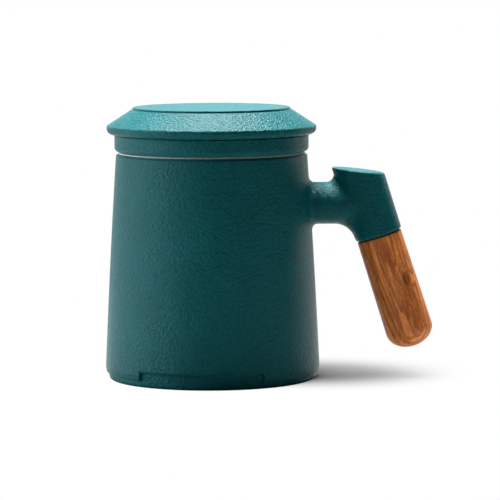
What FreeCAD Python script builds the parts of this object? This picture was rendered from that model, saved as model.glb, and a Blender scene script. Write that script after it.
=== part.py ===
import FreeCAD, Part
import math
import os

import Sketcher
from FreeCAD import Placement, Rotation, Vector

# Lidded tea mug with infuser, in millimetres.
# The origin is on the cup's axis in the plane that the foot stands on.
# +Z is up and +X points to the handle.

os.makedirs("parts", exist_ok=True)
doc = FreeCAD.newDocument("tea_mug")

DIMENSIONS = [
    # cup: a tapered stoneware wall on a recessed foot
    ("base_radius", 46.1),
    ("rim_radius", 41.0),
    ("rim_height", 97.25),
    ("rim_slope_width", 1.5),
    ("rim_slope_drop", 1.2),
    ("rim_inner_round", 1.0),
    ("wall", 4.2),
    ("floor_top", 8.6),
    ("floor_round", 6.0),
    ("foot_inset", 1.55),
    ("foot_width", 6.0),
    ("foot_recess", 2.2),
    ("foot_round", 1.5),
    # skirt over the foot: two lower tabs with a raised notch between them
    ("tab_height", 3.0),
    ("notch_rise", 3.4),
    ("notch_span", 70.6),
    ("notch_turn", 6.6),
    ("notch_count", 2),
    ("skirt_round", 1.1),
    # arm and sleeve of the handle, of one piece with the cup
    ("arm_radius", 9.0),
    ("arm_height", 75.2),
    ("arm_root_round", 2.4),
    ("arm_top_round", 3.3),
    ("arm_bottom_round", 9.0),
    ("handle_reach", 71.6),
    ("joint_height", 61.4),
    ("handle_tilt", 17.7),
    ("sleeve_low_radius", 10.2),
    ("sleeve_top_radius", 10.45),
    ("sleeve_length", 29.4),
    ("sleeve_top_slope", 6.6),
    ("sleeve_edge_round", 0.5),
    # turned wooden grip and what fastens it
    ("washer_thick", 0.5),
    ("washer_inset", 0.7),
    ("grip_length", 49.8),
    ("grip_top_radius", 9.75),
    ("grip_end_radius", 10.15),
    ("grip_dome", 7.8),
    ("grip_edge_round", 0.4),
    ("stud_radius", 3.0),
    ("stud_in_grip", 22.0),
    ("stud_in_sleeve", 13.0),
    ("stud_tip_chamfer", 0.6),
    ("insert_radius", 5.0),
    ("insert_length", 14.0),
    ("bore_end_gap", 1.0),
    ("fit_gap", 0.08),
    # infuser: collar, ledge and perforated basket of one piece
    ("seat_gap", 0.15),
    ("collar_radius", 41.6),
    ("collar_height", 7.6),
    ("collar_round", 2.5),
    ("collar_top_round", 0.4),
    ("collar_wall", 4.0),
    ("socket_depth", 3.9),
    ("neck_gap", 0.9),
    ("basket_depth", 68.0),
    ("basket_end_radius", 31.0),
    ("basket_wall", 2.6),
    ("basket_floor", 3.0),
    ("basket_round", 2.4),
    ("hole_radius", 0.9),
    ("wall_hole_count", 24),
    ("wall_hole_rings", 4),
    ("wall_hole_first", 7.0),
    ("wall_hole_pitch", 6.0),
    ("floor_hole_pitch", 6.0),
    ("floor_hole_rings", 4),
    # lid: lip, cone and raised disc, hollow below, with a locating skirt
    ("lip_radius", 44.9),
    ("lip_thick", 3.55),
    ("lip_low_round", 2.2),
    ("lip_top_round", 0.9),
    ("cone_rise", 6.9),
    ("disc_radius", 33.7),
    ("disc_step", 1.0),
    ("disc_margin", 0.6),
    ("disc_round", 0.3),
    ("lid_wall", 4.3),
    ("lid_skirt_gap", 0.45),
    ("lid_skirt_drop", 3.5),
    ("lid_skirt_wall", 3.3),
]

# The corners of an outline start on a rough circle, and its dimensions then place them.
DRAFT_MIDDLE = 50.0
DRAFT_RADIUS = 40.0
# Two places this near each other are the same place.
NEAR = 0.01
# The skirt's rounding takes at most this share of the ledge under it.
LEDGE_SHARE = 0.85

sheet = doc.addObject("Spreadsheet::Sheet", "size")
for row, (alias, number) in enumerate(DIMENSIONS, start=1):
    sheet.set(f"A{row}", alias)
    sheet.set(f"B{row}", str(number))
    sheet.setAlias(f"B{row}", alias)
doc.recompute()


def size(alias):
    """The number that the sheet holds under an alias."""
    return float(sheet.get(alias))


def bind(item, prop, expression):
    """Ties a property to an expression of sheet aliases, each written with a leading @."""
    item.setExpression(prop, expression.replace("@", "size."))


def origin_item(body, role):
    """One of a body's own origin planes or axes, found by its role."""
    return [part for part in body.Origin.OriginFeatures if part.Role == role][0]


def outline(body, name, points, role="XZ_Plane"):
    """A closed outline of straight lines, each corner an (across, up) pair of expressions."""
    sketch = body.newObject("Sketcher::SketchObject", name)
    sketch.AttachmentSupport = (origin_item(body, role), [""])
    sketch.MapMode = "FlatFace"
    count = len(points)
    middle = Vector(DRAFT_MIDDLE, DRAFT_MIDDLE, 0)
    turns = [2 * math.pi * i / count for i in range(count)]
    corners = [middle + Vector(math.cos(turn), math.sin(turn), 0) * DRAFT_RADIUS for turn in turns]
    for i in range(count):
        sketch.addGeometry(Part.LineSegment(corners[i], corners[(i + 1) % count]), False)
    for i in range(count):
        sketch.addConstraint(Sketcher.Constraint("Coincident", i, 2, (i + 1) % count, 1))
    for i, (across, up) in enumerate(points):
        if across == "0":
            sketch.addConstraint(Sketcher.Constraint("PointOnObject", i, 1, -2))
        else:
            index = sketch.addConstraint(Sketcher.Constraint("DistanceX", -1, 1, i, 1, corners[i].x))
            bind(sketch, f"Constraints[{index}]", across)
        if up == "0":
            sketch.addConstraint(Sketcher.Constraint("PointOnObject", i, 1, -1))
        else:
            index = sketch.addConstraint(Sketcher.Constraint("DistanceY", -1, 1, i, 1, corners[i].y))
            bind(sketch, f"Constraints[{index}]", up)
    return sketch


def turned_body(name, points):
    """A body turned about Z from an outline in its XZ plane."""
    body = doc.addObject("PartDesign::Body", name)
    sketch = outline(body, name + "_outline", points)
    turned = body.newObject("PartDesign::Revolution", name + "_turned")
    turned.Profile = sketch
    turned.ReferenceAxis = (sketch, ["V_Axis"])
    turned.Angle = 360
    doc.recompute()
    return body


def circles_at(shape, rings):
    """Names of the level circular edges whose (radius, height) is one of the given pairs."""
    names = []
    for number, edge in enumerate(shape.Edges, start=1):
        if edge.Curve.TypeId != "Part::GeomCircle":
            continue
        middle = edge.Curve.Center
        for radius, height in rings:
            if abs(edge.Curve.Radius - radius) < NEAR and abs(middle.z - height) < NEAR:
                names.append(f"Edge{number}")
    return names


def edge_middle(edge):
    return edge.valueAt((edge.FirstParameter + edge.LastParameter) / 2)


def round_edges(body, name, names, alias, limit=None):
    """Rounds the named edges of a body's last feature by a radius of the sheet, up to a limit."""
    base = body.Tip
    fillet = body.newObject("PartDesign::Fillet", name)
    fillet.Base = (base, names)
    bind(fillet, "Radius", f"min(@{alias}; {limit})" if limit else f"@{alias}")
    body.Tip = fillet
    doc.recompute()


def put_on_handle(item, along="0"):
    """Places a piece in the handle's frame: Z runs down the grip and starts at the joint."""
    item.Placement = Placement(Vector(), Rotation(Vector(0, 1, 0), 90))
    bind(item, "Placement.Rotation.Angle", "180 - @handle_tilt")
    bind(item, "Placement.Base.x", f"@handle_reach + ({along}) * sin(@handle_tilt * 1deg)")
    bind(item, "Placement.Base.z", f"@joint_height - ({along}) * cos(@handle_tilt * 1deg)")


def cup_shell():
    """Tapered wall, floor and foot, with the notched skirt over the foot."""
    body = turned_body("cup_shell", [
        ("0", "@foot_recess"),
        ("@base_radius - @foot_inset - @foot_width", "@foot_recess"),
        ("@base_radius - @foot_inset - @foot_width", "0"),
        ("@base_radius - @foot_inset", "0"),
        ("@base_radius - @foot_inset", "@tab_height"),
        ("@base_radius", "@tab_height"),
        ("@rim_radius", "@rim_height - @rim_slope_drop"),
        ("@rim_radius - @rim_slope_width", "@rim_height"),
        ("@rim_radius - @wall", "@rim_height"),
        ("@base_radius - @wall", "@floor_top"),
        ("0", "@floor_top"),
    ])
    foot_radius = size("base_radius") - size("foot_inset")
    foot_ring = circles_at(body.Shape, [(foot_radius, 0)])
    round_edges(body, "foot_edge", foot_ring, "foot_round")
    floor_ring = circles_at(body.Shape, [(size("base_radius") - size("wall"), size("floor_top"))])
    round_edges(body, "floor_edge", floor_ring, "floor_round")
    mouth_ring = circles_at(body.Shape, [(size("rim_radius") - size("wall"), size("rim_height"))])
    round_edges(body, "mouth_edge", mouth_ring, "rim_inner_round")

    section = outline(body, "notch_section", [
        ("@base_radius - @foot_inset", "@tab_height / 2"),
        ("@base_radius + @foot_inset", "@tab_height / 2"),
        ("@base_radius + @foot_inset", "@tab_height + @notch_rise"),
        ("@base_radius - @foot_inset", "@tab_height + @notch_rise"),
    ])
    section.AttachmentOffset = Placement(Vector(), Rotation(Vector(0, 1, 0), 90))
    bind(section, "AttachmentOffset.Rotation.Angle", "-90 - @notch_turn")
    notch = body.newObject("PartDesign::Groove", "notch")
    notch.Profile = section
    notch.ReferenceAxis = (section, ["V_Axis"])
    notch.Midplane = True
    bind(notch, "Angle", "@notch_span")
    doc.recompute()
    pattern = body.newObject("PartDesign::PolarPattern", "notches")
    pattern.Originals = [notch]
    pattern.Axis = (origin_item(body, "Z_Axis"), [""])
    pattern.Angle = 360
    bind(pattern, "Occurrences", "@notch_count")
    body.Tip = pattern
    doc.recompute()
    taper = "(@base_radius - @rim_radius) / (@rim_height - @rim_slope_drop - @tab_height)"
    ledge = f"(@foot_inset - @notch_rise * {taper})"
    round_edges(body, "skirt_edge", skirt_edges(body.Shape), "skirt_round", f"{ledge} * {LEDGE_SHARE}")
    return body


def skirt_edges(shape):
    """Outer lower edges of the tabs and of the notches between them."""
    tab = size("tab_height")
    notch = tab + size("notch_rise")
    ledge_middle = size("base_radius") - size("foot_inset") / 2
    names = []
    for number, edge in enumerate(shape.Edges, start=1):
        box = edge.BoundBox
        middle = edge_middle(edge)
        outside = math.hypot(middle.x, middle.y) > ledge_middle
        level = box.ZLength < NEAR and edge.Curve.TypeId == "Part::GeomCircle"
        if outside and level and min(abs(box.ZMin - tab), abs(box.ZMin - notch)) < NEAR:
            names.append(f"Edge{number}")
    return names


def cylinder(name, radius, height):
    item = doc.addObject("Part::Cylinder", name)
    bind(item, "Radius", radius)
    bind(item, "Height", height)
    return item


def arm():
    """Round level arm from the middle of the cup's wall to the sleeve's axis."""
    fall = "(@rim_height - @arm_height) / (@rim_height - @tab_height)"
    root = f"@rim_radius + (@base_radius - @rim_radius) * {fall} - @wall / 2"
    reach = "@handle_reach - (@arm_height - @joint_height) * tan(@handle_tilt * 1deg)"
    item = cylinder("arm", "@arm_radius", f"{reach} - ({root})")
    item.Placement = Placement(Vector(), Rotation(Vector(0, 1, 0), 90))
    bind(item, "Placement.Base.x", root)
    bind(item, "Placement.Base.z", "@arm_height")
    return item


def sleeve():
    """Tapered socket for the grip, its top cut off by a plane that falls away from the cup."""
    blank = doc.addObject("Part::Cone", "sleeve_blank")
    bind(blank, "Radius1", "@sleeve_top_radius")
    bind(blank, "Radius2", "@sleeve_low_radius")
    bind(blank, "Height", "@sleeve_length + @sleeve_top_radius")
    put_on_handle(blank, "-@sleeve_length - @sleeve_top_radius")

    waste = doc.addObject("Part::Box", "sleeve_waste")
    half = "@sleeve_top_radius * 3"
    bind(waste, "Length", f"{half} * 2")
    bind(waste, "Width", f"{half} * 2")
    bind(waste, "Height", half)
    waste.Placement = Placement(Vector(), Rotation(Vector(0, 1, 0), 90))
    bind(waste, "Placement.Rotation.Angle", "@sleeve_top_slope")
    top_x = "@handle_reach - @sleeve_length * sin(@handle_tilt * 1deg)"
    top_z = "@joint_height + @sleeve_length * cos(@handle_tilt * 1deg)"
    bind(waste, "Placement.Base.x", f"{top_x} - {half} * cos(@sleeve_top_slope * 1deg)")
    bind(waste, "Placement.Base.y", f"-{half}")
    bind(waste, "Placement.Base.z", f"{top_z} + {half} * sin(@sleeve_top_slope * 1deg)")

    cut = doc.addObject("Part::Cut", "sleeve_cut")
    cut.Base = blank
    cut.Tool = waste
    doc.recompute()
    item = doc.addObject("Part::Fillet", "sleeve")
    item.Base = cut
    edge_round = size("sleeve_edge_round")
    rims = [number for number, edge in enumerate(cut.Shape.Edges, start=1)
            if edge.Curve.TypeId in ("Part::GeomEllipse", "Part::GeomCircle")]
    item.Edges = [(number, edge_round, edge_round) for number in rims]
    return item


def root_edges(shape):
    """Fillet entries where the arm meets the cup and the sleeve, (edge, start, end radius).

    Such an edge runs round the arm's surface. The arm's own seam does not cross it, and is left out.
    """
    entries = []
    radius = size("arm_radius")
    level = size("arm_height")
    for number, edge in enumerate(shape.Edges, start=1):
        middle = edge_middle(edge)
        box = edge.BoundBox
        on_arm = abs(math.hypot(middle.y, middle.z - level) - radius) < 2 * NEAR
        if not on_arm or box.YLength < radius / 2:
            continue
        if box.XMax < size("base_radius"):
            entries.append((number, size("arm_root_round"), size("arm_root_round")))
        else:
            heights = [edge.Vertexes[0].Z, edge.Vertexes[-1].Z]
            radii = [size("arm_top_round") if z > level else size("arm_bottom_round") for z in heights]
            entries.append((number, radii[0], radii[1]))
    return entries


def cup_body():
    """Cup, arm and sleeve of one piece of stoneware, with a blind bore for the insert."""
    blank = doc.addObject("Part::MultiFuse", "cup_blank")
    blank.Shapes = [cup_shell(), arm(), sleeve()]
    blank.Refine = False
    doc.recompute()

    rooted = doc.addObject("Part::Fillet", "cup_rooted")
    rooted.Base = blank
    rooted.Edges = root_edges(blank.Shape)
    doc.recompute()

    bore = cylinder("insert_bore", "@insert_radius + @fit_gap", "@insert_length + @bore_end_gap")
    put_on_handle(bore, "-@insert_length - @bore_end_gap")
    item = doc.addObject("Part::Cut", "cup_body")
    item.Base = rooted
    item.Tool = bore
    return item


def grip():
    """Turned wooden grip: a slight taper that widens downwards, a domed end and a blind bore."""
    body = turned_body("handle_grip", [
        ("@stud_radius + @fit_gap", "@washer_thick"),
        ("@grip_top_radius", "@washer_thick"),
        ("@grip_end_radius", "@washer_thick + @grip_length - @grip_dome"),
        ("0", "@washer_thick + @grip_length - @grip_dome"),
        ("0", "@washer_thick + @stud_in_grip + @bore_end_gap"),
        ("@stud_radius + @fit_gap", "@washer_thick + @stud_in_grip + @bore_end_gap"),
    ])
    ring = circles_at(body.Shape, [(size("grip_top_radius"), size("washer_thick"))])
    round_edges(body, "grip_edge", ring, "grip_edge_round")
    dome = body.newObject("PartDesign::AdditiveEllipsoid", "grip_dome_end")
    bind(dome, "Radius1", "@grip_dome")
    bind(dome, "Radius2", "@grip_end_radius")
    bind(dome, "Radius3", "@grip_end_radius")
    bind(dome, "AttachmentOffset.Base.z", "@washer_thick + @grip_length - @grip_dome")
    dome.AttachmentSupport = (origin_item(body, "XY_Plane"), [""])
    dome.MapMode = "FlatFace"
    body.Tip = dome
    put_on_handle(body)
    return body


def washer():
    """Thin dark cushion washer between the ceramic sleeve and the wood."""
    body = turned_body("grip_washer", [
        ("@stud_radius + @fit_gap", "@fit_gap / 4"),
        ("@grip_top_radius - @washer_inset", "@fit_gap / 4"),
        ("@grip_top_radius - @washer_inset", "@washer_thick - @fit_gap / 4"),
        ("@stud_radius + @fit_gap", "@washer_thick - @fit_gap / 4"),
    ])
    put_on_handle(body)
    return body


def stud():
    """Steel stud that screws into the insert above and the wood below."""
    body = turned_body("grip_stud", [
        ("0", "-@stud_in_sleeve"),
        ("@stud_radius - @stud_tip_chamfer", "-@stud_in_sleeve"),
        ("@stud_radius", "@stud_tip_chamfer - @stud_in_sleeve"),
        ("@stud_radius", "@washer_thick + @stud_in_grip - @stud_tip_chamfer"),
        ("@stud_radius - @stud_tip_chamfer", "@washer_thick + @stud_in_grip"),
        ("0", "@washer_thick + @stud_in_grip"),
    ])
    put_on_handle(body)
    return body


def insert():
    """Brass bush bonded into the sleeve's bore, which takes the stud."""
    body = turned_body("socket_insert", [
        ("@stud_radius + @fit_gap", "-@insert_length"),
        ("@insert_radius", "-@insert_length"),
        ("@insert_radius", "-@fit_gap"),
        ("@stud_radius + @fit_gap", "-@fit_gap"),
    ])
    put_on_handle(body)
    return body


def infuser():
    """Collar that sits on the rim, a ledge for the lid's skirt and a perforated basket."""
    low = "@rim_height + @seat_gap"
    top = f"{low} + @collar_height"
    neck = "@rim_radius - @wall - @neck_gap"
    end = f"{low} - @basket_depth"
    floor = f"{end} + @basket_floor"
    body = turned_body("infuser", [
        ("0", end),
        ("@basket_end_radius", end),
        (neck, low),
        ("@collar_radius", low),
        ("@collar_radius", top),
        ("@collar_radius - @collar_wall", top),
        ("@collar_radius - @collar_wall", f"{top} - @socket_depth"),
        (f"{neck} - @basket_wall", f"{top} - @socket_depth"),
        ("@basket_end_radius - @basket_wall", floor),
        ("0", floor),
    ])
    low_height = size("rim_height") + size("seat_gap")
    top_height = low_height + size("collar_height")
    end_height = low_height - size("basket_depth")
    collar = size("collar_radius")
    round_edges(body, "collar_low_edge", circles_at(body.Shape, [(collar, low_height)]), "collar_round")
    top_rings = [(collar, top_height), (collar - size("collar_wall"), top_height)]
    round_edges(body, "collar_top_edge", circles_at(body.Shape, top_rings), "collar_top_round")
    foot_ring = circles_at(body.Shape, [(size("basket_end_radius"), end_height)])
    round_edges(body, "basket_edge", foot_ring, "basket_round")
    wall_holes(body, end)
    floor_holes(body, floor)
    return body


def wall_holes(body, end):
    """Rings of small round holes through the lower part of the basket's wall."""
    sketch = body.newObject("Sketcher::SketchObject", "wall_hole_column")
    sketch.AttachmentSupport = (origin_item(body, "YZ_Plane"), [""])
    sketch.MapMode = "FlatFace"
    for ring in range(int(size("wall_hole_rings"))):
        start = Vector(0, size("wall_hole_first") + ring * size("wall_hole_pitch"), 0)
        sketch.addGeometry(Part.Circle(start, Vector(0, 0, 1), size("hole_radius")), False)
        sketch.addConstraint(Sketcher.Constraint("PointOnObject", ring, 3, -2))
        index = sketch.addConstraint(Sketcher.Constraint("DistanceY", -1, 1, ring, 3, start.y))
        bind(sketch, f"Constraints[{index}]", f"{end} + @wall_hole_first + {ring} * @wall_hole_pitch")
        index = sketch.addConstraint(Sketcher.Constraint("Radius", ring, size("hole_radius")))
        bind(sketch, f"Constraints[{index}]", "@hole_radius")
    column = body.newObject("PartDesign::Pocket", "wall_holes_one")
    column.Profile = sketch
    column.Reversed = True
    bind(column, "Length", "@basket_end_radius + @collar_radius")
    doc.recompute()
    rings = body.newObject("PartDesign::PolarPattern", "wall_holes_all")
    rings.Originals = [column]
    rings.Axis = (origin_item(body, "Z_Axis"), [""])
    rings.Angle = 360
    rings.Refine = False
    bind(rings, "Occurrences", "@wall_hole_count")
    body.Tip = rings
    doc.recompute()


def floor_holes(body, floor):
    """Rings of holes through the basket's floor, each ring with six more than the last."""
    sketch = body.newObject("Sketcher::SketchObject", "floor_hole_rings")
    sketch.AttachmentSupport = (origin_item(body, "XY_Plane"), [""])
    sketch.MapMode = "FlatFace"
    bind(sketch, "AttachmentOffset.Base.z", floor)
    pitch = size("floor_hole_pitch")
    number = 0
    for ring in range(int(size("floor_hole_rings")) + 1):
        for step in range(max(1, 6 * ring)):
            turn = 2 * math.pi * step / max(1, 6 * ring)
            place = Vector(ring * pitch * math.cos(turn), ring * pitch * math.sin(turn), 0)
            sketch.addGeometry(Part.Circle(place, Vector(0, 0, 1), size("hole_radius")), False)
            if number == 0:
                index = sketch.addConstraint(Sketcher.Constraint("Radius", 0, size("hole_radius")))
                bind(sketch, f"Constraints[{index}]", "@hole_radius")
            else:
                sketch.addConstraint(Sketcher.Constraint("Equal", 0, number))
            number += 1
    holes = body.newObject("PartDesign::Pocket", "floor_holes")
    holes.Profile = sketch
    bind(holes, "Length", "@basket_floor * 2")
    body.Tip = holes
    doc.recompute()


def lid():
    """Wide lip, cone and raised disc over a hollow, with a skirt that drops into the collar."""
    low = "@rim_height + @collar_height + @seat_gap * 2"
    cone_low = f"{low} + @lip_thick"
    cone_top = f"{cone_low} + @cone_rise"
    disc_top = f"{cone_top} + @disc_step"
    skirt_out = "@collar_radius - @collar_wall - @lid_skirt_gap"
    skirt_in = f"{skirt_out} - @lid_skirt_wall"
    slope_drop = "@cone_rise * @lid_wall / (@lip_radius - @disc_radius)"
    body = turned_body("lid", [
        ("0", f"{disc_top} - @lid_wall"),
        ("@disc_radius - @lid_wall", f"{disc_top} - @lid_wall"),
        (skirt_in, f"{cone_top} - @lid_wall - {slope_drop} / 2"),
        (skirt_in, f"{low} - @lid_skirt_drop"),
        (skirt_out, f"{low} - @lid_skirt_drop"),
        (skirt_out, low),
        ("@lip_radius", low),
        ("@lip_radius", cone_low),
        ("@disc_radius + @disc_margin", cone_top),
        ("@disc_radius", cone_top),
        ("@disc_radius", disc_top),
        ("0", disc_top),
    ])
    low_height = size("rim_height") + size("collar_height") + 2 * size("seat_gap")
    cone_height = low_height + size("lip_thick")
    disc_height = cone_height + size("cone_rise") + size("disc_step")
    lip = size("lip_radius")
    round_edges(body, "lip_low_edge", circles_at(body.Shape, [(lip, low_height)]), "lip_low_round")
    round_edges(body, "lip_top_edge", circles_at(body.Shape, [(lip, cone_height)]), "lip_top_round")
    disc_ring = circles_at(body.Shape, [(size("disc_radius"), disc_height)])
    round_edges(body, "disc_edge", disc_ring, "disc_round")
    return body


SUB_PARTS = [cup_body(), infuser(), lid(), grip(), washer(), stud(), insert()]
doc.recompute()


def check_document():
    """Stops if any object failed or any sub-part is not one valid solid."""
    failed = [item.Name for item in doc.Objects if {"Invalid", "Error"} & set(item.State)]
    for item in SUB_PARTS:
        if item.Shape.isNull() or not item.Shape.isValid() or len(item.Shape.Solids) != 1:
            failed.append(item.Name)
    if failed:
        raise RuntimeError("not built: " + ", ".join(failed))


check_document()
for item in SUB_PARTS:
    item.Label = item.Name
    item.Shape.exportStep(f"parts/{item.Label}.step")
    box = item.Shape.optimalBoundingBox()
    corners = [round(v, 2) for v in (box.XMin, box.YMin, box.ZMin, box.XMax, box.YMax, box.ZMax)]
    print(item.Label, round(item.Shape.Volume, 1), corners)
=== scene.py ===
import math

import bpy
import numpy as np
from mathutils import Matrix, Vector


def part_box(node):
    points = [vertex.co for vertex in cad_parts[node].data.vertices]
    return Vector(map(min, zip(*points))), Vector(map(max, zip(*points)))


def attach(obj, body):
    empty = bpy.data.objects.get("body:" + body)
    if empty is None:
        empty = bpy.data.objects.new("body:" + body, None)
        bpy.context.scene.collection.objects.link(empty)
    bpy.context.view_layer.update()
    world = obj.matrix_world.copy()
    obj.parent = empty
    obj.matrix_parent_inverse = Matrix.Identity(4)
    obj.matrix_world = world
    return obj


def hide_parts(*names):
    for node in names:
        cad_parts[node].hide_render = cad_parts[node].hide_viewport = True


bl_info = {
    "name": "Lidded tea mug with infuser",
    "version": (1, 0, 0),
    "blender": (4, 5, 0),
    "location": "3D View > Sidebar > Tea Mug",
    "description": "Dresses a stoneware tea mug with a lift-off lid, an infuser and a turned wooden grip",
    "category": "Object",
}

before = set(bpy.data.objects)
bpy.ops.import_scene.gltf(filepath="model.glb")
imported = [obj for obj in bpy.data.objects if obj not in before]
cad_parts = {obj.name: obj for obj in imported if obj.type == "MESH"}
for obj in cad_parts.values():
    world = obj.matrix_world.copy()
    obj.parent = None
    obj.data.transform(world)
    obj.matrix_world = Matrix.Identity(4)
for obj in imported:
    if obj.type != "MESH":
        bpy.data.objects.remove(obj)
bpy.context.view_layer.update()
cup_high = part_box("cup_body")[1]
lid_low, lid_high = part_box("lid")

# Points round each shape.
CUP_SIDES = 288
HANDLE_SIDES = 112
LID_SIDES = 256

MILLIMETRES = 1000
WHITE = (1.0, 1.0, 1.0, 1.0)

# Each soft box: its name, its place, its width and height in metres, and its watts.
SOFT_BOXES = (
    ("top_soft_box", (0.01, 0.14, 0.62), 0.28, 0.28, 15.5),
    ("left_soft_box", (-0.80, 0.02, 0.28), 0.7, 0.6, 7.8),
    ("corner_soft_box", (-0.60, 0.75, 0.28), 0.5, 0.6, 0.7),
    ("back_soft_box", (0.0, 1.1, 0.22), 1.2, 0.5, 2.0),
    ("right_soft_box", (0.62, 0.78, 0.25), 0.30, 0.6, 1.0),
)


def length(name, text, value):
    """A length property in metres."""
    return bpy.props.FloatProperty(name=name, description=text, default=value, unit="LENGTH", precision=5)


def angle(name, text, degrees):
    """An angle property, with its default given in degrees."""
    turn = math.radians(degrees)
    return bpy.props.FloatProperty(name=name, description=text, default=turn, unit="ROTATION")


def colour(name, text, hex_value):
    """A colour property, with its default given as an sRGB hex colour."""
    return bpy.props.FloatVectorProperty(
        name=name, description=text, default=linear(hex_value), size=3, subtype="COLOR", min=0, max=1
    )


def linear(hex_value):
    """An sRGB hex colour such as "#0b5254" as linear red, green and blue."""
    parts = np.array([int(hex_value[i:i + 2], 16) / 255 for i in (1, 3, 5)])
    low = parts / 12.92
    high = ((parts + 0.055) / 1.055) ** 2.4
    return tuple(float(value) for value in np.where(parts <= 0.04045, low, high))


class CupSizes(bpy.types.PropertyGroup):
    base_radius: length("Base radius", "Widest radius of the cup, at its skirt", 0.0461)
    rim_radius: length("Rim radius", "Outer radius at the top of the wall", 0.0410)
    rim_height: length("Rim height", "Height of the flat rim that the infuser sits on", float(cup_high[2]))
    rim_slope: length("Rim slope", "Width of the outer slope of the rim", 0.0015)
    rim_drop: length("Rim drop", "Height of the outer slope of the rim", 0.0012)
    wall: length("Wall", "Thickness of the cup's wall", 0.0042)
    bulge: length("Wall bulge", "How far the wall bows out of a straight taper", 0.00025)
    floor_top: length("Floor", "Height of the cup's inner floor", 0.0086)
    foot_inset: length("Foot inset", "How far the foot is set in from the skirt", 0.00155)
    foot_width: length("Foot width", "Width of the foot ring", 0.0060)
    foot_recess: length("Foot recess", "Depth of the hollow inside the foot ring", 0.0022)
    tab_height: length("Tab height", "Height of the skirt's lower edge at its tabs", 0.0030)
    notch_rise: length("Notch rise", "How much higher the skirt's edge is in a notch", 0.0034)
    notch_span: angle("Notch span", "Angle that each notch takes round the cup", 70.6)
    notch_turn: angle("Notch turn", "Turn of the front notch from the front", 6.6)
    notches: bpy.props.IntProperty(
        name="Notches", description="Number of notches round the skirt", default=2
    )


class HandleSizes(bpy.types.PropertyGroup):
    arm_radius: length("Arm radius", "Radius of the level arm", 0.0090)
    arm_height: length("Arm height", "Height of the arm's axis", 0.0752)
    root_round: length("Root round", "Fillet between arm and cup", 0.0024)
    top_round: length("Top round", "Fillet between arm and sleeve, above", 0.0033)
    bottom_round: length("Bottom round", "Fillet between arm and sleeve, below", 0.0090)
    reach: length("Reach", "Distance of the joint from the cup's axis", 0.0716)
    joint_height: length("Joint height", "Height of the joint between ceramic and wood", 0.0614)
    tilt: angle("Tilt", "Lean of the grip from upright", 17.7)
    sleeve_low: length("Sleeve radius, low", "Radius of the sleeve at the joint", 0.0102)
    sleeve_top: length("Sleeve radius, top", "Radius of the sleeve at its top", 0.01045)
    sleeve_length: length("Sleeve length", "Length of the sleeve along its axis", 0.0294)
    top_slope: angle("Top slope", "Fall of the sleeve's cut top away from the cup", 6.6)
    edge_round: length("Edge round", "Rounding of the sleeve's edges", 0.0010)
    bore_radius: length("Bore radius", "Radius of the sleeve's blind bore", 0.00508)
    bore_depth: length("Bore depth", "Depth of the sleeve's blind bore", 0.0150)
    washer: length("Washer", "Thickness of the washer under the sleeve", 0.0005)
    grip_length: length("Grip length", "Length of the wooden grip", 0.0498)
    grip_top: length("Grip radius, top", "Radius of the grip at the joint", 0.00975)
    grip_end: length("Grip radius, end", "Radius of the grip where its dome starts", 0.01015)
    grip_dome: length("Grip dome", "Height of the grip's domed end", 0.0078)


class LidSizes(bpy.types.PropertyGroup):
    lip_radius: length("Lip radius", "Widest radius of the lid", float(lid_high[0]))
    top: length("Top", "Height of the raised disc", float(lid_high[2]))
    skirt_foot: length("Skirt foot", "Lowest point of the locating skirt", float(lid_low[2]))
    underside: length("Underside", "Height of the lip's flat underside", 0.10515)
    lip_thick: length("Lip thickness", "Height of the lip's edge", 0.00355)
    lip_low_round: length("Lip round, below", "Rounding under the lip", 0.0025)
    lip_top_round: length("Lip round, above", "Rounding between lip and cone", 0.0009)
    disc_radius: length("Disc radius", "Radius of the raised disc", 0.0337)
    disc_step: length("Disc step", "Height of the disc above the cone", 0.0010)
    disc_margin: length("Disc margin", "Narrow level band round the disc", 0.0006)
    wall: length("Wall", "Thickness of the lid's top", 0.0043)
    skirt_radius: length("Skirt radius", "Outer radius of the locating skirt", 0.03715)
    skirt_wall: length("Skirt wall", "Thickness of the locating skirt", 0.0033)


class Finishes(bpy.types.PropertyGroup):
    glaze: colour("Glaze", "Deep teal of the matt glaze", "#004a4e")
    glaze_thin: colour("Thin glaze", "Where the glaze runs thin on the relief", "#005e62")
    # Painted highlight: a pale colour along the rim's sharp edge that stands in for light caught there.
    painted_rim_highlight: colour("Painted rim highlight", "Pale colour painted as a highlight on the rim's sharp edge", "#e6eeee")
    wood_light: colour("Wood, light", "Early growth of the hardwood", "#fb9c52")
    wood_dark: colour("Wood, dark", "Darker streaks of the hardwood", "#b2602c")
    wood_late: colour("Wood, late growth", "Thin dark lines and the knot", "#6b3317")
    rubber: colour("Washer", "Black silicone of the washer", "#0c0c0d")


# Shapes: each is an array of rings, and each ring has the same number of points round it.


def tangent_arc(before, corner, after, rounding, steps):
    """Points of the arc that rounds a corner between two neighbours.

    It touches both sides at rounding / tan(half the corner's angle), and its two end spokes are
    turned into each other about its centre.
    """
    back = before - corner
    ahead = after - corner
    back /= np.linalg.norm(back)
    ahead /= np.linalg.norm(ahead)
    half = math.acos(float(np.clip(back @ ahead, -1, 1))) / 2
    touch = rounding / math.tan(half)
    middle = (back + ahead) / np.linalg.norm(back + ahead)
    centre = corner + middle * rounding / math.sin(half)
    start = corner + back * touch - centre
    stop = corner + ahead * touch - centre
    sweep = math.pi - 2 * half
    arc = []
    for k in np.linspace(0, 1, steps + 1):
        spoke = math.sin((1 - k) * sweep) * start + math.sin(k * sweep) * stop
        arc.append(centre + spoke / math.sin(sweep))
    return arc


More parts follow.
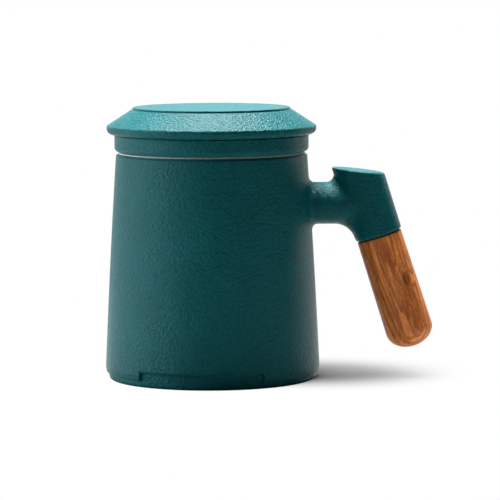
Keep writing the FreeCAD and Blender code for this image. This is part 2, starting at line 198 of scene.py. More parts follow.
def rounded_outline(corners, arc_steps, side_points):
    """An outline through (radius, height, rounding) corners, each but the two ends made an arc.

    side_points gives how many points divide each side evenly, one count for each side.
    """
    points = [np.array(corner[:2]) for corner in corners]
    path = []
    for i, here in enumerate(points):
        arc = [here]
        if 0 < i < len(points) - 1:
            arc = tangent_arc(points[i - 1], here, points[i + 1], corners[i][2], arc_steps)
        if path and side_points[i - 1] > 0:
            between = np.linspace(0, 1, side_points[i - 1] + 2)[1:-1]
            path += [path[-1] * (1 - k) + arc[0] * k for k in between]
        path += arc
    return np.array(path)


def turned(outline, angles):
    """Rings of a surface of revolution: each outline point (radius, height) is carried round Z."""
    radius = outline[:, 0][:, None]
    x = radius * np.cos(angles)[None, :]
    y = radius * np.sin(angles)[None, :]
    z = np.repeat(outline[:, 1][:, None], len(angles), axis=1)
    return np.stack([x, y, z], axis=-1)


def skin(name, rings, material):
    """A closed mesh over rings, with a fan of triangles to the middle of the first and last ring."""
    count, around = rings.shape[:2]
    first = rings[0].mean(axis=0)
    last = rings[-1].mean(axis=0)
    points = np.concatenate([rings.reshape(-1, 3), first[None], last[None]])
    row = np.arange(count - 1)[:, None] * around
    here = np.arange(around)[None, :]
    there = (here + 1) % around
    quads = np.stack([row + here, row + there, row + around + there, row + around + here], axis=-1)
    quads = quads.reshape(-1, 4)
    ring = np.arange(around)
    step = (ring + 1) % around
    low_fan = np.stack([step, ring, np.full(around, count * around)], axis=-1)
    top = (count - 1) * around
    high_fan = np.stack([top + ring, top + step, np.full(around, count * around + 1)], axis=-1)
    mesh = bpy.data.meshes.new(name)
    mesh.from_pydata(points.tolist(), [], quads.tolist() + low_fan.tolist() + high_fan.tolist())
    mesh.polygons.foreach_set("use_smooth", np.ones(len(mesh.polygons), dtype=bool))
    mesh.update()
    piece = bpy.data.objects.new(name, mesh)
    bpy.context.collection.objects.link(piece)
    piece.data.materials.append(material)
    return piece


def even_angles(count):
    """Angles that divide a whole turn evenly."""
    return np.arange(count) * 2 * math.pi / count


class HandleFrame:
    """The handle's own frame: down runs along the grip from the joint, out leans away from the cup."""

    def __init__(self, sizes):
        self.joint = np.array([sizes.reach, 0.0, sizes.joint_height])
        self.down = np.array([math.sin(sizes.tilt), 0.0, -math.cos(sizes.tilt)])
        self.out = np.array([math.cos(sizes.tilt), 0.0, math.sin(sizes.tilt)])
        self.side = np.array([0.0, 1.0, 0.0])

    def place(self, radius, angles, along):
        """Points at a radius and angle round the handle's axis, and a distance down it."""
        level = np.cos(angles)[..., None] * self.out + np.sin(angles)[..., None] * self.side
        return self.joint + radius[..., None] * level + along[..., None] * self.down


def wall_bow(cup, rise):
    """How far the wall bows out at a share of its height: a parabola, full at half height."""
    return cup.bulge * 4 * rise * (1 - rise)


def wall_radius(cup, height):
    """Outer radius of the cup's bowed wall at a height."""
    rise = (height - cup.tab_height) / (cup.rim_height - cup.tab_height)
    straight = cup.base_radius + (cup.rim_radius - cup.base_radius) * rise
    return straight + wall_bow(cup, rise)


def cup_rings(cup):
    """Cup wall: the outline of a tab and the outline of a notch, blended by a soft step at each riser.

    Both outlines follow one straight wall line, so that the wall above a riser shows no crease.
    The step is 3 w * w - 2 w * w * w, where w runs from 0 to 1 across the riser. The rings on the
    axis itself are left out, because the skin closes each pole with a fan.
    """
    recess_round = 0.0012
    foot_inner_round = 0.0006
    foot_round = 0.0016
    undercut_round = 0.0003
    hem_round = 0.0006
    skirt_round = 0.0018
    rim_round = 0.0004
    mouth_round = 0.0010
    floor_round = 0.0060
    tab_lean = 0.0012
    notch_lean = 0.0006
    half_riser = 0.0005
    riser_cuts = np.linspace(-1.2, 1.2, 13)
    arc_steps = 6
    side_points = [6, 0, 2, 0, 0, 0, 40, 0, 1, 16, 8]
    angle_digits = 7
    outer_skin = 0.6 * cup.wall
    axis_radius = 1e-6

    foot = cup.base_radius - cup.foot_inset
    foot_inner = foot - cup.foot_width
    mouth = cup.rim_radius - cup.wall
    slope_foot = cup.rim_height - cup.rim_drop
    taper = (cup.base_radius - cup.rim_radius) / (slope_foot - cup.tab_height)

    def outline(edge, lean):
        """The outline whose skirt ends at the height edge, with a hem that leans in."""
        hem_in = 0.4 * lean
        hem_up = 2 * lean
        skirt_radius = cup.base_radius - taper * (edge + hem_up - cup.tab_height)
        corners = [
            (0.0, cup.foot_recess, 0),
            (foot_inner, cup.foot_recess, recess_round),
            (foot_inner, 0.0, foot_inner_round),
            (foot, 0.0, foot_round),
            (foot, edge, undercut_round),
            (skirt_radius - hem_in, edge, hem_round),
            (skirt_radius, edge + hem_up, skirt_round),
            (cup.rim_radius, slope_foot, rim_round),
            (cup.rim_radius - cup.rim_slope, cup.rim_height, rim_round),
            (mouth, cup.rim_height, mouth_round),
            (cup.base_radius - cup.wall, cup.floor_top, floor_round),
            (0.0, cup.floor_top, 0),
        ]
        return rounded_outline(corners, arc_steps, side_points)

    tab = outline(cup.tab_height, tab_lean)
    notch = outline(cup.tab_height + cup.notch_rise, notch_lean)
    middle = -math.pi / 2 - cup.notch_turn
    step = half_riser / cup.base_radius
    risers = [middle + 2 * math.pi * n / cup.notches + side * cup.notch_span / 2
              for n in range(cup.notches) for side in (-1, 1)]
    fine = [riser + step * riser_cuts for riser in risers]
    angles = np.concatenate([even_angles(CUP_SIDES)] + fine) % (2 * math.pi)
    angles = np.unique(np.round(angles, angle_digits))
    off = (angles - middle + math.pi / cup.notches) % (2 * math.pi / cup.notches) - math.pi / cup.notches
    inside = np.clip((cup.notch_span / 2 - np.abs(off)) / step * 0.5 + 0.5, 0, 1)
    weight = inside * inside * (3 - 2 * inside)
    both = turned(tab, angles) * (1 - weight)[None, :, None] + turned(notch, angles) * weight[None, :, None]
    rise = np.clip((both[..., 2] - cup.tab_height) / (cup.rim_height - cup.tab_height), 0, 1)
    radius = np.hypot(both[..., 0], both[..., 1])
    outside = radius > cup.base_radius - outer_skin - rise * (cup.base_radius - cup.rim_radius)
    bow = 1 + np.where(outside, wall_bow(cup, rise) / np.maximum(radius, axis_radius), 0)
    both[..., :2] *= bow[..., None]
    return both[1:-1]


def arc_between(centre, start, stop, radius, steps):
    """Arcs on a ball: unit directions start and stop are turned into each other, one ring a step."""
    dot = np.clip((start * stop).sum(-1), -1, 1)
    sweep = np.arccos(dot)[:, None]
    rings = []
    for k in np.linspace(0, 1, steps):
        direction = (np.sin((1 - k) * sweep) * start + np.sin(k * sweep) * stop) / np.sin(sweep)
        rings.append(centre + radius[:, None] * direction)
    return rings


def arm_rings(cup, handle, place):
    """Arm: a level cylinder whose ends flare by a rolling ball into the wall and into the sleeve.

    The ball's centre lies the ball's radius off both surfaces, so each flare is tangent to both.
    Each end is carried on a little way into what it meets.
    """
    bury = 0.0012
    root_steps = 12
    tip_steps = 20
    middle_steps = 8
    angles = even_angles(HANDLE_SIDES)
    spoke = np.stack([np.zeros_like(angles), np.cos(angles), np.sin(angles)], axis=-1)

    ball = np.full_like(angles, handle.root_round)
    across = (handle.arm_radius + ball) * spoke[:, 1]
    height = handle.arm_height + (handle.arm_radius + ball) * spoke[:, 2]
    slope = math.atan((cup.base_radius - cup.rim_radius) / (cup.rim_height - cup.tab_height))
    reach = wall_radius(cup, height) + ball / math.cos(slope)
    centre = np.stack([np.sqrt(reach ** 2 - across ** 2), across, height], axis=-1)
    normal = np.stack([centre[:, 0] / reach * math.cos(slope), across / reach * math.cos(slope),
                       np.full_like(angles, math.sin(slope))], axis=-1)
    root = arc_between(centre, -normal, -spoke, ball, root_steps)
    buried_root = root[0] - bury * normal

    # The ball at the sleeve grows from its radius above the arm to its radius below it.
    up = 0.5 + 0.5 * spoke[:, 2]
    ball = handle.bottom_round + (handle.top_round - handle.bottom_round) * up
    across = (handle.arm_radius + ball) * spoke[:, 1]
    height = handle.arm_height + (handle.arm_radius + ball) * spoke[:, 2]

    # Its centre is where a level line comes within both radii of the handle's axis, which is the
    # nearer root of square * x * x + single * x + rest = 0.
    start = np.stack([np.zeros_like(angles), across, height], axis=-1) - place.joint
    mean_sleeve = handle.sleeve_low + (handle.sleeve_top - handle.sleeve_low) * 0.5
    off = start - (start @ place.down)[:, None] * place.down
    step = np.array([1.0, 0.0, 0.0]) - place.down[0] * place.down
    square = step @ step
    single = 2 * (off @ step)
    rest = (off * off).sum(-1) - (mean_sleeve + ball) ** 2
    near = (-single - np.sqrt(np.maximum(single * single - 4 * square * rest, 0))) / (2 * square)
    centre = np.stack([near, across, height], axis=-1)
    away = centre - place.joint
    away -= (away @ place.down)[:, None] * place.down
    normal = away / np.linalg.norm(away, axis=-1, keepdims=True)
    tip = arc_between(centre, -spoke, -normal, ball, tip_steps)
    buried_tip = tip[-1] - bury * normal

    middle = [root[-1] * (1 - k) + tip[0] * k for k in np.linspace(0, 1, middle_steps)[1:-1]]
    return np.stack([buried_root] + root + middle + tip + [buried_tip])


def sleeve_rings(handle, place):
    """Sleeve: a cone round the handle's axis, bored from below, its top cut by a falling plane.

    The cut's height is -length + radius * cos(angle) * tan(tilt + slope). The top edge is a curve
    that the sharp corner pulls at, with k * k for its end and 2 * k * (1 - k) for the corner.
    """
    bore_floor_share = 0.5
    edge_points = 7
    side_rings = 26
    face_shares = (0.8, 0.55, 0.3, 0.1)
    angles = even_angles(HANDLE_SIDES)
    fall = math.tan(handle.tilt + handle.top_slope)
    ease = handle.edge_round
    rings = []

    def level(radius, along):
        """Adds a ring square to the axis."""
        rings.append(place.place(np.full_like(angles, radius), angles, np.full_like(angles, along)))

    level(handle.bore_radius * bore_floor_share, -handle.bore_depth)
    level(handle.bore_radius, -handle.bore_depth)
    level(handle.bore_radius, 0.0)
    for k in np.linspace(0, math.pi / 2, edge_points):
        level(handle.sleeve_low - ease + ease * math.sin(k), -ease + ease * math.cos(k))
    edge = -handle.sleeve_length + handle.sleeve_top * np.cos(angles) * fall
    side_stop = edge + ease
    for k in np.linspace(0, 1, side_rings)[1:]:
        along = -ease + (side_stop + ease) * k
        share = -along / handle.sleeve_length
        radius = handle.sleeve_low + (handle.sleeve_top - handle.sleeve_low) * share
        rings.append(place.place(radius, angles, along))
    start = rings[-1]
    radius = np.full_like(angles, handle.sleeve_top)
    corner = place.place(radius, angles, edge)
    inner = radius - ease
    stop = place.place(inner, angles, -handle.sleeve_length + inner * np.cos(angles) * fall)
    for k in np.linspace(0, 1, edge_points)[1:]:
        rings.append(start * (1 - k) ** 2 + corner * 2 * k * (1 - k) + stop * k * k)
    for share in face_shares:
        ring = inner * share
        rings.append(place.place(ring, angles, -handle.sleeve_length + ring * np.cos(angles) * fall))
    return np.stack(rings)


def grip_rings(handle, place):
    """Grip: a slight taper round the handle's axis that ends in half an ellipsoid.

    It is bored from its top for the stud.
    """
    bore_radius = 0.00308
    bore_depth = 0.023
    edge_round = 0.0004
    edge_points = 6
    side_rings = 40
    dome_rings = 24
    angles = even_angles(HANDLE_SIDES)
    top = handle.washer
    side_top = top + edge_round
    shoulder = handle.washer + handle.grip_length - handle.grip_dome
    profile = [(bore_radius, top + bore_depth), (bore_radius, top)]
    profile += [(handle.grip_top - edge_round + edge_round * math.sin(k),
                 side_top - edge_round * math.cos(k))
                for k in np.linspace(0, math.pi / 2, edge_points)]
    profile += [(handle.grip_top + (handle.grip_end - handle.grip_top) * k,
                 side_top + (shoulder - top - edge_round) * k)
                for k in np.linspace(0, 1, side_rings)[1:]]
    profile += [(handle.grip_end * math.cos(k), shoulder + handle.grip_dome * math.sin(k))
                for k in np.linspace(0, math.pi / 2, dome_rings)[1:-1]]
    rings = [place.place(np.full_like(angles, radius), angles, np.full_like(angles, along))
             for radius, along in profile]
    return np.stack(rings)


def lid_rings(lid):
    """Lid: the outline of skirt, lip, cone and disc carried round the axis.

    Its two points on the axis are left out, because the skin closes each pole with a fan.
    """
    ceiling_round = 0.0020
    shoulder_round = 0.0015
    shoulder_drop = 0.0012
    skirt_round = 0.0008
    seat_round = 0.0004
    cone_round = 0.0004
    step_foot_round = 0.0002
    step_lean = 0.00005
    disc_round = 0.0004
    arc_steps = 7
    side_points = [6, 1, 2, 0, 0, 2, 0, 12, 0, 0, 8]

    cone_low = lid.underside + lid.lip_thick
    cone_top = lid.top - lid.disc_step
    skirt_in = lid.skirt_radius - lid.skirt_wall
    ceiling = lid.top - lid.wall
    corners = [
        (0.0, ceiling, 0),
        (lid.disc_radius - lid.wall, ceiling, ceiling_round),
        (skirt_in, cone_top - lid.wall - shoulder_drop, shoulder_round),
        (skirt_in, lid.skirt_foot, skirt_round),
        (lid.skirt_radius, lid.skirt_foot, skirt_round),
        (lid.skirt_radius, lid.underside, seat_round),
        (lid.lip_radius, lid.underside, lid.lip_low_round),
        (lid.lip_radius, cone_low, lid.lip_top_round),
        (lid.disc_radius + lid.disc_margin, cone_top, cone_round),
        (lid.disc_radius + step_lean, cone_top, step_foot_round),
        (lid.disc_radius, lid.top, disc_round),
        (0.0, lid.top, 0),
    ]
    outline = rounded_outline(corners, arc_steps, side_points)
    return turned(outline[1:-1], even_angles(LID_SIDES))


# Materials: procedural, on object coordinates in metres.


def add_node(tree, kind, inputs=None, links=None, **settings):
    """Adds one node with its settings, its input values and links to its inputs.

    An input goes by its name, or by its number where names repeat: a Mix has its factor at 0, its
    numbers at 2 and 3 and its colours at 6 and 7, and MULTIPLY_ADD makes 0 times 1 plus 2.
    """
    node = tree.nodes.new(kind)
    for key, value in settings.items():
        setattr(node, key, value)
    for key, value in (inputs or {}).items():
        node.inputs[key].default_value = value
    for key, source in (links or {}).items():
        tree.links.new(source, node.inputs[key])
    return node


def new_material(name):
    """An empty material: itself, its node tree, its shader and its object coordinates."""
    material = bpy.data.materials.new(name)
    material.use_nodes = True
    tree = material.node_tree
    tree.nodes.clear()
    shader = add_node(tree, "ShaderNodeBsdfPrincipled")
    add_node(tree, "ShaderNodeOutputMaterial", links={"Surface": shader.outputs[0]})
    place = add_node(tree, "ShaderNodeTexCoord").outputs["Object"]
    return material, tree, shader, place


def rgba(colour_value):
    """A linear colour with full alpha, as a colour socket takes it."""
    return (*colour_value, 1.0)


def matt_teal_glaze(finishes, cup):
    """Matt teal stoneware glaze, sprayed over a pebbled body: satin, with a fine leathery relief.

    The glaze runs thin and lighter on the relief. A pale band along the sharp edge of the rim is a painted
    highlight.
    """
    material, tree, shader, place = new_material("matt_teal_stoneware_glaze")
    pebble_size = 0.0011
    cloud_size = 0.0150
    wander_share = 0.7
    wander_reach = (0.0006, 0.0006, 0.0006)
    grit_share = 2.2
    cell_depth = -0.9
    relief_height = 0.00034
    thinning = 0.9
    highlight_full = 0.0002
    highlight_gone = 0.0007
    pebble = 1 / pebble_size

    # Rounded cells with wandering borders, and grit on them.
    wander = add_node(tree, "ShaderNodeTexNoise", {"Scale": pebble * wander_share, "Detail": 2.0},
                      {"Vector": place})
    shift = add_node(tree, "ShaderNodeVectorMath", {1: wander_reach},
                     {0: wander.outputs["Color"]}, operation="MULTIPLY")
    warped = add_node(tree, "ShaderNodeVectorMath", links={0: place, 1: shift.outputs[0]},
                      operation="ADD")
    cells = add_node(tree, "ShaderNodeTexVoronoi", {"Scale": pebble, "Smoothness": 0.6},
                     {"Vector": warped.outputs[0]}, feature="SMOOTH_F1")
    grit = add_node(tree, "ShaderNodeTexNoise",
                    {"Scale": pebble * grit_share, "Detail": 3.0, "Roughness": 0.6},
                    {"Vector": place})
    relief = add_node(tree, "ShaderNodeMath", {1: cell_depth},
                      {0: cells.outputs["Distance"], 2: grit.outputs[0]}, operation="MULTIPLY_ADD")
    bump = add_node(tree, "ShaderNodeBump", {"Strength": 1.0, "Distance": relief_height},
                    {"Height": relief.outputs[0]})

    # The glaze's colour and gloss drift in wide clouds.
    cloud = add_node(tree, "ShaderNodeTexNoise", {"Scale": 1 / cloud_size, "Detail": 4.0},
                     {"Vector": place})
    thin = add_node(tree, "ShaderNodeMath", {1: thinning},
                    {0: relief.outputs[0], 2: cloud.outputs[0]},
                    operation="MULTIPLY_ADD", use_clamp=True)
    tint = add_node(tree, "ShaderNodeMix", {6: rgba(finishes.glaze), 7: rgba(finishes.glaze_thin)},
                    {0: thin.outputs[0]}, data_type="RGBA")
    rough = add_node(tree, "ShaderNodeMapRange", {"To Min": 0.30, "To Max": 0.39},
                     {"Value": cloud.outputs[0]})

    # Painted highlight: in the section of radius and height, the distance from the rim's outer edge, which
    # sets a pale band along it.
    level = add_node(tree, "ShaderNodeVectorMath", {1: (1.0, 1.0, 0.0)}, {0: place},
                     operation="MULTIPLY")
    radius = add_node(tree, "ShaderNodeVectorMath", links={0: level.outputs[0]}, operation="LENGTH")
    height = add_node(tree, "ShaderNodeSeparateXYZ", links={0: place})
    section = add_node(tree, "ShaderNodeCombineXYZ",
                       links={0: radius.outputs["Value"], 1: height.outputs["Z"]})
    rim_edge = (cup.rim_radius - cup.rim_slope, cup.rim_height, 0.0)
    off_edge = add_node(tree, "ShaderNodeVectorMath", {1: rim_edge}, {0: section.outputs[0]},
                        operation="DISTANCE")
    # Painted highlight: the pale colour is mixed in close to the rim's edge.
    highlight_share = add_node(tree, "ShaderNodeMapRange",
                      {"From Min": highlight_full, "From Max": highlight_gone, "To Min": 1.0, "To Max": 0.0},
                      {"Value": off_edge.outputs["Value"]})
    highlighted = add_node(tree, "ShaderNodeMix", {7: rgba(finishes.painted_rim_highlight)},
                     {0: highlight_share.outputs[0], 6: tint.outputs[2]}, data_type="RGBA")

    tree.links.new(highlighted.outputs[2], shader.inputs["Base Color"])
    tree.links.new(rough.outputs[0], shader.inputs["Roughness"])
    tree.links.new(bump.outputs[0], shader.inputs["Normal"])
    shader.inputs["Specular IOR Level"].default_value = 0.12
    return material


def handle_millimetres(tree, place, handle):
    """The handle's own frame in millimetres: X leans away from the cup, Z runs up the grip."""
    out = handle.reach * math.cos(handle.tilt) + handle.joint_height * math.sin(handle.tilt)
    up = handle.joint_height * math.cos(handle.tilt) - handle.reach * math.sin(handle.tilt)
    return add_node(tree, "ShaderNodeMapping", {
        "Location": (-out * MILLIMETRES, 0.0, -up * MILLIMETRES),
        "Rotation": (0.0, handle.tilt, 0.0),
        "Scale": (MILLIMETRES, MILLIMETRES, MILLIMETRES),
    }, {"Vector": place}).outputs[0]


def oiled_hardwood(finishes, handle):
    """Oiled red-brown hardwood, turned along the grain. Its sizes are in millimetres.

    The growth rings are the distance from a pith line that leans to the grip, so that they open in
    V figures. A branch adds to that distance round its own line, which gives the oval knot.
    """
    material, tree, shader, place = new_material("oiled_turned_hardwood")
    local = handle_millimetres(tree, place, handle)
    ring_width = 2.7
    pith = (-1.5, 9.0, 0.0)
    pith_lean = math.radians(9)
    sway_size = 6.0
    sway_stretch = (1.0, 1.0, 0.13)
    sway_reach = (5.0, 5.0, 5.0)
    noise_middle = (0.5, 0.5, 0.5)
    knot = (5.2, 0.0, -20.8)
    knot_width = 2.3
    knot_height = 4.2
    knot_growth = 7.5
    pore_size = 0.5
    pore_stretch = (1.0, 1.0, 0.07)
    streak_size = 3.5
    fleck_size = 1.1
    pore_depth = 0.00006

    # Distance from the pith, in wood that sways slowly along the grip.
    slow = add_node(tree, "ShaderNodeVectorMath", {1: sway_stretch}, {0: local}, operation="MULTIPLY")
    sway = add_node(tree, "ShaderNodeTexNoise", {"Scale": 1 / sway_size, "Detail": 3.0},
                    {"Vector": slow.outputs[0]})
    even = add_node(tree, "ShaderNodeVectorMath", {1: noise_middle}, {0: sway.outputs["Color"]},
                    operation="SUBTRACT")
    bent = add_node(tree, "ShaderNodeVectorMath", {1: sway_reach}, {0: even.outputs[0], 2: local},
                    operation="MULTIPLY_ADD")
    leant = add_node(tree, "ShaderNodeMapping", {"Location": pith, "Rotation": (pith_lean, 0.0, 0.0)},
                     {"Vector": bent.outputs[0]})
    level = add_node(tree, "ShaderNodeVectorMath", {1: (1.0, 1.0, 0.0)}, {0: leant.outputs[0]},
                     operation="MULTIPLY")
    pith_distance = add_node(tree, "ShaderNodeVectorMath", links={0: level.outputs[0]},
                             operation="LENGTH")

    # The branch that makes the knot runs across the grip.
    from_knot = add_node(tree, "ShaderNodeVectorMath", {1: knot}, {0: local}, operation="SUBTRACT")
    oval = add_node(tree, "ShaderNodeVectorMath", {1: (1 / knot_width, 0.0, 1 / knot_height)},
                    {0: from_knot.outputs[0]}, operation="MULTIPLY")
    knot_distance = add_node(tree, "ShaderNodeVectorMath", links={0: oval.outputs[0]},
                             operation="LENGTH")
    swell = add_node(tree, "ShaderNodeMapRange",
                     {"From Max": 1.9, "To Min": knot_growth, "To Max": 0.0},
                     {"Value": knot_distance.outputs["Value"]}, interpolation_type="SMOOTHSTEP")
    core = add_node(tree, "ShaderNodeMapRange",
                    {"From Min": 0.45, "From Max": 0.90, "To Min": 0.6, "To Max": 0.0},
                    {"Value": knot_distance.outputs["Value"]})

    # A ring darkens through its year and ends sharply.
    growth = add_node(tree, "ShaderNodeMath",
                      links={0: pith_distance.outputs["Value"], 1: swell.outputs[0]}, operation="ADD")
    count = add_node(tree, "ShaderNodeMath", {1: 1 / ring_width}, {0: growth.outputs[0]},
                     operation="MULTIPLY")
    year = add_node(tree, "ShaderNodeMath", links={0: count.outputs[0]}, operation="FRACT")
    late = add_node(tree, "ShaderNodeMapRange", {"From Min": 0.45, "From Max": 0.95},
                    {"Value": year.outputs[0]}, interpolation_type="SMOOTHSTEP")

    # Long pores, broad streaks and small flecks.
    pore_place = add_node(tree, "ShaderNodeVectorMath", {1: pore_stretch}, {0: bent.outputs[0]},
                          operation="MULTIPLY")
    pores = add_node(tree, "ShaderNodeTexNoise",
                     {"Scale": 1 / pore_size, "Detail": 4.0, "Roughness": 0.75},
                     {"Vector": pore_place.outputs[0]})
    broad = add_node(tree, "ShaderNodeTexNoise", {"Scale": 1 / streak_size, "Detail": 2.0},
                     {"Vector": slow.outputs[0]})
    fleck = add_node(tree, "ShaderNodeTexNoise",
                     {"Scale": 1 / fleck_size, "Detail": 5.0, "Roughness": 0.8},
                     {"Vector": bent.outputs[0]})
    figure = add_node(tree, "ShaderNodeMath", links={0: pores.outputs[0], 1: broad.outputs[0]},
                      operation="ADD")
    warm = add_node(tree, "ShaderNodeMapRange", {"From Min": 0.88, "From Max": 1.17},
                    {"Value": figure.outputs[0]})
    ground = add_node(tree, "ShaderNodeMix",
                      {6: rgba(finishes.wood_dark), 7: rgba(finishes.wood_light)},
                      {0: warm.outputs[0]}, data_type="RGBA")
    strong = add_node(tree, "ShaderNodeMapRange",
                      {"From Min": 0.35, "From Max": 0.65, "To Min": 0.08, "To Max": 0.60},
                      {"Value": broad.outputs[0]})
    speck = add_node(tree, "ShaderNodeMapRange",
                     {"From Min": 0.48, "From Max": 0.72, "To Min": 0.0, "To Max": 0.45},
                     {"Value": fleck.outputs[0]})
    dark = add_node(tree, "ShaderNodeMath", links={0: speck.outputs[0], 1: core.outputs[0]},
                    operation="ADD")
    line = add_node(tree, "ShaderNodeMath",
                    links={0: late.outputs[0], 1: strong.outputs[0], 2: dark.outputs[0]},
                    operation="MULTIPLY_ADD", use_clamp=True)
    tint = add_node(tree, "ShaderNodeMix", {7: rgba(finishes.wood_late)},
                    {0: line.outputs[0], 6: ground.outputs[2]}, data_type="RGBA")
    bump = add_node(tree, "ShaderNodeBump", {"Strength": 0.35, "Distance": pore_depth},
                    {"Height": pores.outputs[0]})
    tree.links.new(tint.outputs[2], shader.inputs["Base Color"])
    tree.links.new(bump.outputs[0], shader.inputs["Normal"])
    shader.inputs["Roughness"].default_value = 0.5
    shader.inputs["Specular IOR Level"].default_value = 0.2
    return material


def silicone_rubber(finishes):
    """Moulded black silicone: dull, with a faint cloudy surface."""
    material, tree, shader, place = new_material("moulded_black_silicone")
    cloud_size = 0.002
    cloud = add_node(tree, "ShaderNodeTexNoise", {"Scale": 1 / cloud_size, "Detail": 2.0},
                     {"Vector": place})
    rough = add_node(tree, "ShaderNodeMapRange", {"To Min": 0.6, "To Max": 0.75},
                     {"Value": cloud.outputs[0]})
    tree.links.new(rough.outputs[0], shader.inputs["Roughness"])
    shader.inputs["Base Color"].default_value = rgba(finishes.rubber)
    return material


def turned_metal(name, hex_value, handle, roughness):
    """Turned metal: fine lathe marks that run round the handle's axis."""
    material, tree, shader, place = new_material(name)
    local = handle_millimetres(tree, place, handle)
    mark_spacing = 0.3
    mark_stretch = (0.05, 0.05, 1.0)
    mark_depth = 0.00003
    lathe = add_node(tree, "ShaderNodeVectorMath", {1: mark_stretch}, {0: local},
                     operation="MULTIPLY")
    marks = add_node(tree, "ShaderNodeTexNoise", {"Scale": 1 / mark_spacing, "Detail": 2.0},
                     {"Vector": lathe.outputs[0]})
    bump = add_node(tree, "ShaderNodeBump", {"Strength": 0.4, "Distance": mark_depth},
                    {"Height": marks.outputs[0]})
    rough = add_node(tree, "ShaderNodeMapRange",
                     {"To Min": roughness - 0.05, "To Max": roughness + 0.08},
                     {"Value": marks.outputs[0]})
    tree.links.new(bump.outputs[0], shader.inputs["Normal"])
    tree.links.new(rough.outputs[0], shader.inputs["Roughness"])
    shader.inputs["Base Color"].default_value = rgba(linear(hex_value))
    shader.inputs["Metallic"].default_value = 1.0
    return material


def glaze(scene):
    """The glaze that cup, infuser and lid share, made the first time it is asked for."""
    made = bpy.data.materials.get("matt_teal_stoneware_glaze")
    return made or matt_teal_glaze(scene.mug_finishes, scene.mug_cup)


def dress(node, material):
    """Gives a CAD node's own object a finish."""
    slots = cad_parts[node].data.materials
    slots.clear()
    slots.append(material)


# Operators: one for each piece or group of like pieces, and one for the stage.


class MUG_OT_cup(bpy.types.Operator):
    """Make the glazed cup with its notched skirt, arm and sleeve"""

    bl_idname = "mug.cup"
    bl_label = "Cup, Arm and Sleeve"

    def execute(self, context):
        scene = context.scene
        place = HandleFrame(scene.mug_handle)
        shapes = {
            "cup_wall": cup_rings(scene.mug_cup),
            "handle_arm": arm_rings(scene.mug_cup, scene.mug_handle, place),
            "handle_sleeve": sleeve_rings(scene.mug_handle, place),
        }
        for name, rings in shapes.items():
            piece = skin(name, rings, glaze(scene))
            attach(piece, "cup")
            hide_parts("cup_body")
        return {"FINISHED"}


class MUG_OT_infuser(bpy.types.Operator):
    """Finish the infuser's collar and basket"""

    bl_idname = "mug.infuser"
    bl_label = "Infuser"

    def execute(self, context):
        dress("infuser", glaze(context.scene))
        return {"FINISHED"}


class MUG_OT_lid(bpy.types.Operator):
    """Make the lid with its lip, cone and raised disc"""

    bl_idname = "mug.lid"
    bl_label = "Lid"

    def execute(self, context):
        piece = skin("lid_shell", lid_rings(context.scene.mug_lid), glaze(context.scene))
        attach(piece, "lid")
        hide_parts("lid")
        return {"FINISHED"}


class MUG_OT_grip(bpy.types.Operator):
    """Make the turned wooden grip and finish its washer, stud and insert"""

    bl_idname = "mug.grip"
    bl_label = "Grip and Fixings"

    def execute(self, context):
        scene = context.scene
        handle = scene.mug_handle
        wood = oiled_hardwood(scene.mug_finishes, handle)
        piece = skin("wooden_grip", grip_rings(handle, HandleFrame(handle)), wood)
        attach(piece, "cup")
        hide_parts("handle_grip")
        dress("grip_washer", silicone_rubber(scene.mug_finishes))
        dress("grip_stud", turned_metal("turned_stainless_steel", "#b9b9b6", handle, roughness=0.3))
        dress("socket_insert", turned_metal("turned_brass", "#c9a15a", handle, roughness=0.32))
        return {"FINISHED"}


class MUG_OT_stage(bpy.types.Operator):
    """Make the pale floor, the soft studio light and the camera"""

    bl_idname = "mug.stage"
    bl_label = "Stage, Light and Camera"

    def execute(self, context):
        pale_floor()
        studio_light(context.scene)
        add_camera(context.scene)
        return {"FINISHED"}


def pale_floor():
    """A round sheet of pale paper, white to the camera apart from the mug's contact shadow.

    The shadow is ambient occlusion raised to a power. It shows in a soft patch at the right of the
    foot and fades to plain white round it. Every other ray meets the paper's own pale tone.
    """
    floor_radius = 0.6
    floor_sides = 96
    paper_tone = (0.36, 0.36, 0.36, 1.0)
    shadow_middle = (0.052, 0.016, 0.0)
    shadow_full = 0.014
    shadow_gone = 0.064
    shadow_reach = 0.060
    shadow_power = 2.7

    mesh = bpy.data.meshes.new("studio_floor")
    angles = even_angles(floor_sides)
    edge = np.stack([floor_radius * np.cos(angles), floor_radius * np.sin(angles), 0 * angles], axis=-1)
    mesh.from_pydata(edge.tolist(), [], [list(range(len(edge)))])
    floor = bpy.data.objects.new("studio_floor", mesh)
    bpy.context.collection.objects.link(floor)
    material = bpy.data.materials.new("matt_white_paper")
    material.use_nodes = True
    tree = material.node_tree
    tree.nodes.clear()
    seen = add_node(tree, "ShaderNodeLightPath")
    paper = add_node(tree, "ShaderNodeBsdfDiffuse", {"Color": paper_tone})
    place = add_node(tree, "ShaderNodeTexCoord").outputs["Object"]
    away = add_node(tree, "ShaderNodeVectorMath", {1: shadow_middle}, {0: place}, operation="DISTANCE")
    far = add_node(tree, "ShaderNodeMapRange", {"From Min": shadow_full, "From Max": shadow_gone},
                   {"Value": away.outputs["Value"]}, interpolation_type="SMOOTHSTEP")
    open_sky = add_node(tree, "ShaderNodeAmbientOcclusion", {"Distance": shadow_reach}, samples=24)
    shade = add_node(tree, "ShaderNodeMath", {1: shadow_power}, {0: open_sky.outputs["AO"]},
                     operation="POWER")
    light = add_node(tree, "ShaderNodeMix", {3: 1.0}, {0: far.outputs[0], 2: shade.outputs[0]},
                     data_type="FLOAT")
    white = add_node(tree, "ShaderNodeEmission", {"Color": WHITE}, {"Strength": light.outputs[0]})
    mix = add_node(tree, "ShaderNodeMixShader",
                   links={0: seen.outputs["Is Camera Ray"], 1: paper.outputs[0], 2: white.outputs[0]})
    add_node(tree, "ShaderNodeOutputMaterial", links={"Surface": mix.outputs[0]})
    mesh.materials.append(material)


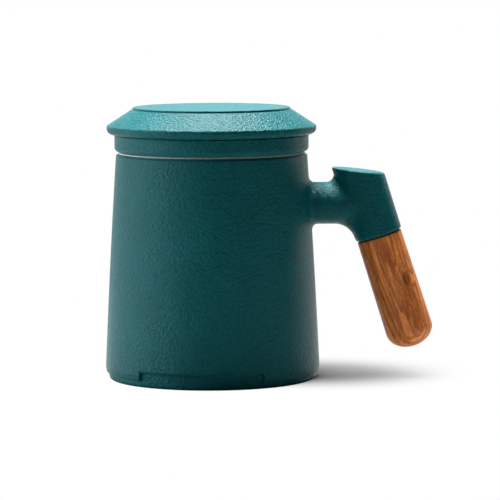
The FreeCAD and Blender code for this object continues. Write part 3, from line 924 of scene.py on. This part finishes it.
def soft_box(name, place, aim, width, height, watts):
    """A rectangular soft light at a place, turned to face a point."""
    lamp = bpy.data.lights.new(name, "AREA")
    lamp.shape = "RECTANGLE"
    lamp.size = width
    lamp.size_y = height
    lamp.energy = watts
    item = bpy.data.objects.new(name, lamp)
    bpy.context.collection.objects.link(item)
    look = np.array(aim) - np.array(place)
    look = look / np.linalg.norm(look)
    item.location = place
    item.rotation_euler = (math.acos(-look[2]), 0.0, math.atan2(-look[0], look[1]))
    item.visible_camera = False


def studio_light(scene):
    """Soft boxes above, at the left and behind; the world is white to the camera and dim to the piece."""
    aim = (0.02, 0.0, 0.06)
    dim_strength = 0.05
    for name, place, width, height, watts in SOFT_BOXES:
        soft_box(name, place, aim, width, height, watts)
    world = bpy.data.worlds.new("studio_world")
    scene.world = world
    world.use_nodes = True
    tree = world.node_tree
    tree.nodes.clear()
    seen = add_node(tree, "ShaderNodeLightPath")
    dim = add_node(tree, "ShaderNodeBackground", {"Color": WHITE, "Strength": dim_strength})
    white = add_node(tree, "ShaderNodeBackground", {"Color": WHITE, "Strength": 1.0})
    mix = add_node(tree, "ShaderNodeMixShader",
                   links={0: seen.outputs["Is Camera Ray"], 1: dim.outputs[0], 2: white.outputs[0]})
    add_node(tree, "ShaderNodeOutputWorld", links={"Surface": mix.outputs[0]})
    scene.view_settings.view_transform = "Standard"


def add_camera(scene):
    """A long lens a little above the lid, as the photograph was taken."""
    sensor_width = 36.0
    picture_width = 500
    focal_pixels = 3390.8
    place = (0.0169, -1.450, 0.19463)
    pitch = 0.0960
    roll = 0.0045

    data = bpy.data.cameras.new("studio_camera")
    data.sensor_width = sensor_width
    data.lens = sensor_width * focal_pixels / picture_width
    data.clip_end = 20.0
    camera = bpy.data.objects.new("studio_camera", data)
    bpy.context.collection.objects.link(camera)
    camera.location = place
    camera.rotation_euler = (math.pi / 2 - pitch, roll, 0.0)
    scene.camera = camera


class MUG_PT_panel(bpy.types.Panel):
    """Sizes, finishes and steps of the tea mug"""

    bl_idname = "MUG_PT_panel"
    bl_label = "Tea Mug"
    bl_space_type = "VIEW_3D"
    bl_region_type = "UI"
    bl_category = "Tea Mug"

    def draw(self, context):
        for operator in OPERATORS:
            self.layout.operator(operator.bl_idname)
        for group in GROUPS:
            values = getattr(context.scene, group)
            box = self.layout.box()
            for name in values.__annotations__:
                box.prop(values, name)


GROUPS = {"mug_cup": CupSizes, "mug_handle": HandleSizes, "mug_lid": LidSizes, "mug_finishes": Finishes}
OPERATORS = (MUG_OT_stage, MUG_OT_cup, MUG_OT_infuser, MUG_OT_lid, MUG_OT_grip)


def register():
    for group in GROUPS.values():
        bpy.utils.register_class(group)
    for name, group in GROUPS.items():
        setattr(bpy.types.Scene, name, bpy.props.PointerProperty(type=group))
    for item in (*OPERATORS, MUG_PT_panel):
        bpy.utils.register_class(item)


def unregister():
    for item in (MUG_PT_panel, *OPERATORS):
        bpy.utils.unregister_class(item)
    for name, group in GROUPS.items():
        delattr(bpy.types.Scene, name)
        bpy.utils.unregister_class(group)


def main():
    """Registers the classes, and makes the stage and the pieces."""
    register()
    bpy.ops.mug.stage()
    bpy.ops.mug.cup()
    bpy.ops.mug.infuser()
    bpy.ops.mug.lid()
    bpy.ops.mug.grip()


if __name__ == "__main__":
    main()
